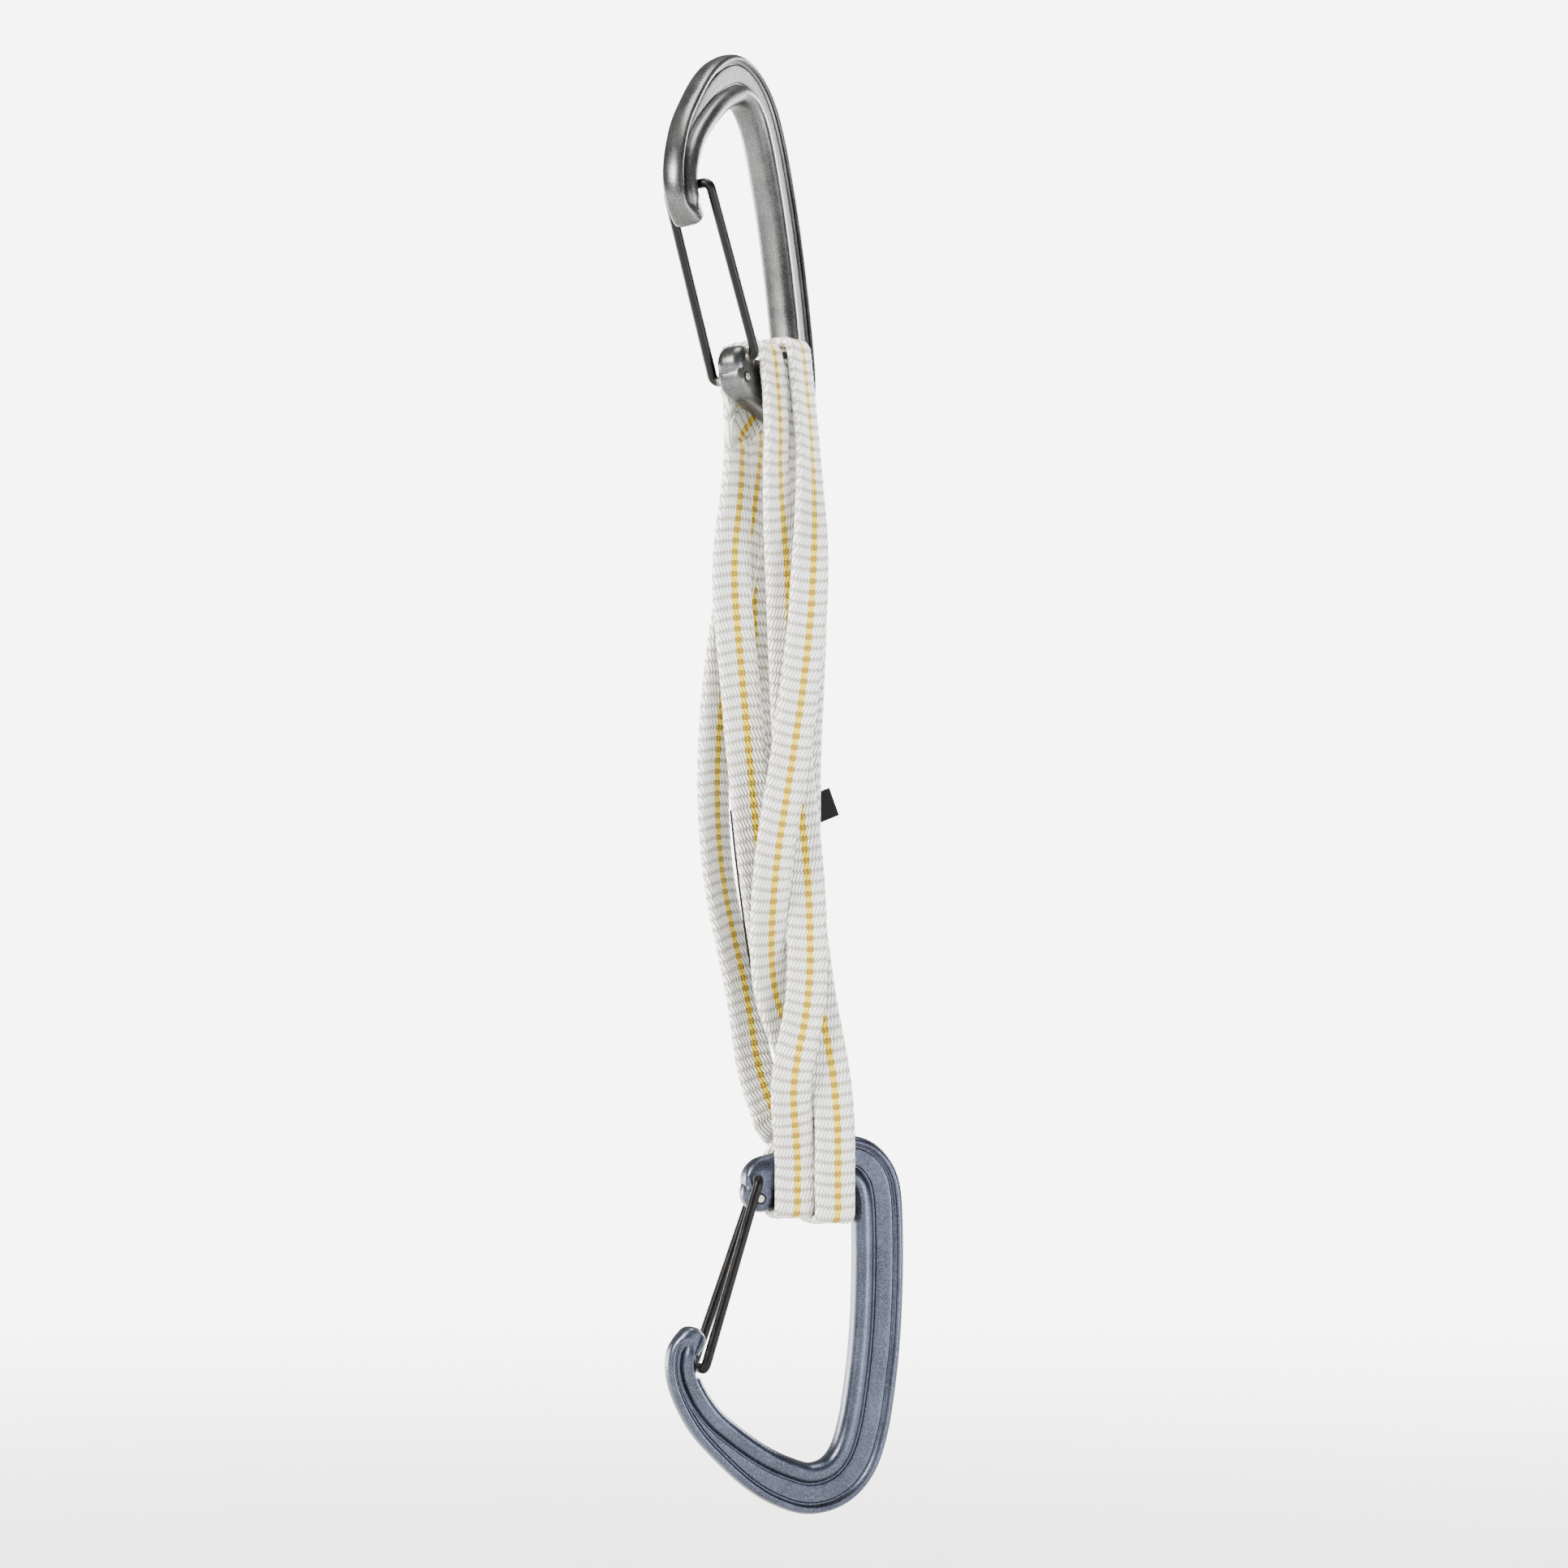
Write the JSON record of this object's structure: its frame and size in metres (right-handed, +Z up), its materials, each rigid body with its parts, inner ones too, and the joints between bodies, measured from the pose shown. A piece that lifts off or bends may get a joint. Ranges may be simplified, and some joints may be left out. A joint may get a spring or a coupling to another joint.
{
  "type": "climbing quickdraw",
  "caption": "Extendable climbing quickdraw: a sewn webbing sling folded into turns between a small grey upper wiregate carabiner and a blue-grey lower one.",
  "frame": {"origin": "the point of the upper carabiner's inner edge that bears on what it is clipped to", "axes": "+Z up with the quickdraw hanging, -Y the front it is seen from, +X to the right"},
  "size_m": [0.0573, 0.0519, 0.3436],
  "materials": {
    "upper_alloy": "satin",
    "lower_alloy": "satin",
    "gate_wire": "satin",
    "webbing": "woven",
    "stitching": "sewn thread",
    "label": "woven label"
  },
  "bodies": {
    "upper_carabiner": {"upper_frame": "upper_alloy", "upper_gate_far_end": "gate_wire", "sling_top_loops": "webbing"},
    "upper_gate": {"upper_gate_wire": "gate_wire"},
    "sling_upper": {"sling_top_flex": "webbing", "sling_upper_run": "webbing"},
    "sling_lower": {"sling_mid_flex": "webbing", "sling_lower_run": "webbing", "sling_overlap": "webbing", "bar_tacks": "stitching", "long_label": "label", "flag_tab": "label"},
    "lower_carabiner": {"sling_bottom_flex": "webbing", "sling_bottom_loops": "webbing", "lower_frame": "lower_alloy", "lower_gate_far_end": "gate_wire"},
    "lower_gate": {"lower_gate_wire": "gate_wire"}
  },
  "joints": [
    {"name": "upper_gate_hinge", "type": "hinge", "parent": "upper_carabiner", "child": "upper_gate", "pos_m": [0.00265, -0.01495, -0.06366], "axis": [-0.8663, 0.4772, -0.1481], "range_deg": [0, 24], "stiffness_Nm_per_rad": 0.25, "springref_deg": -20.05},
    {"name": "upper_swing", "type": "hinge", "parent": "upper_carabiner", "child": "sling_upper", "pos_m": [0.01114, -0.00295, -0.08058], "axis": [0.4772, 0.8788, 0], "range_deg": [-45, 45], "deforming": ["sling_top_flex"]},
    {"name": "sling_twist", "type": "hinge", "parent": "sling_upper", "child": "sling_lower", "pos_m": [0.01074, -0.00275, -0.11658], "axis": [0, 0, 1], "range_deg": [-60, 60], "stiffness_Nm_per_rad": 0.01, "deforming": ["sling_mid_flex"]},
    {"name": "lower_swing", "type": "hinge", "parent": "sling_lower", "child": "lower_carabiner", "pos_m": [0.02029, 0.00248, -0.23558], "axis": [0.9659, 0.2588, 0], "range_deg": [-45, 45], "deforming": ["sling_bottom_flex"]},
    {"name": "lower_gate_hinge", "type": "hinge", "parent": "lower_carabiner", "child": "lower_gate", "pos_m": [0.00689, -0.00007, -0.25058], "axis": [0.2588, -0.9659, 0], "range_deg": [0, 24], "stiffness_Nm_per_rad": 0.25, "springref_deg": -20.05}
  ]
}
